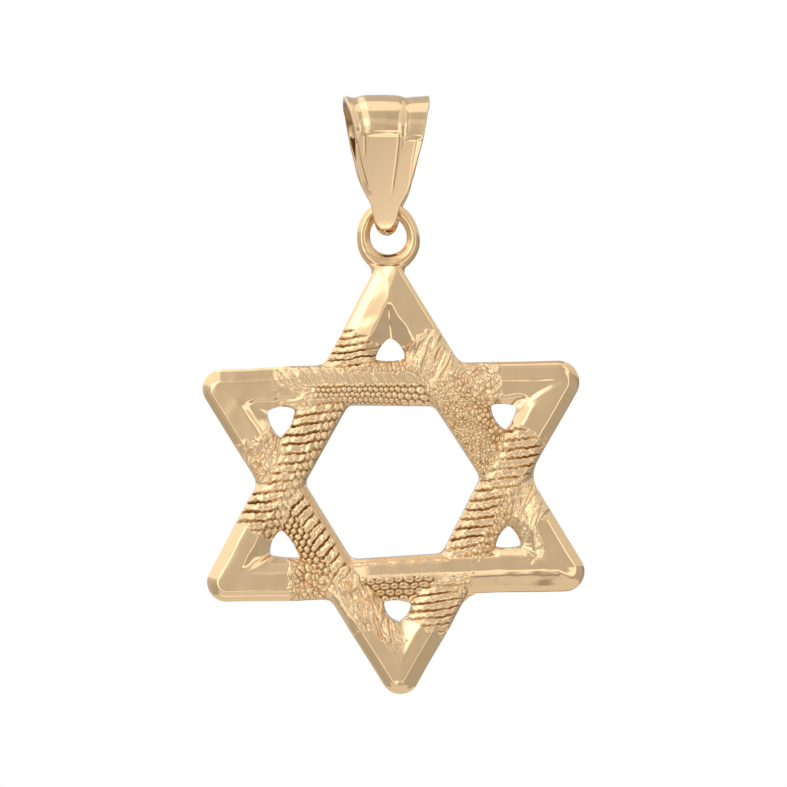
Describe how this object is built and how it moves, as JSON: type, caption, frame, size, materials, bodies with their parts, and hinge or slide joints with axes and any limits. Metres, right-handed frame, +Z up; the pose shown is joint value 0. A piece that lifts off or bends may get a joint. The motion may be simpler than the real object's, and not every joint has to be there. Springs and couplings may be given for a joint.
{
  "type": "star of david pendant",
  "caption": "Cast yellow-gold pendant: an openwork six-pointed star of two interlaced triangles with ridged bars and polished points, on a soldered ring in a folded bail.",
  "frame": {"origin": "middle of the channel in the bail's fold, where the chain carries the pendant", "axes": "+Z up, +Y to the back, so the front faces -Y as in the picture, +X to the viewer's right; the pendant hangs below the origin"},
  "size_m": [0.0215, 0.0046, 0.0336],
  "materials": {
    "bail_gold": null,
    "star_gold": "cast 14-karat yellow gold, polished points, hand-carved bright ridges with darker grooves"
  },
  "bodies": {
    "bail": {"bail": "bail_gold"},
    "star": {"star": "star_gold"}
  },
  "joints": [
    {"name": "star_swing", "type": "hinge", "parent": "bail", "child": "star", "pos_m": [0, 0, -0.00432], "axis": [1, 0, 0], "range_deg": [-70, 60]}
  ]
}
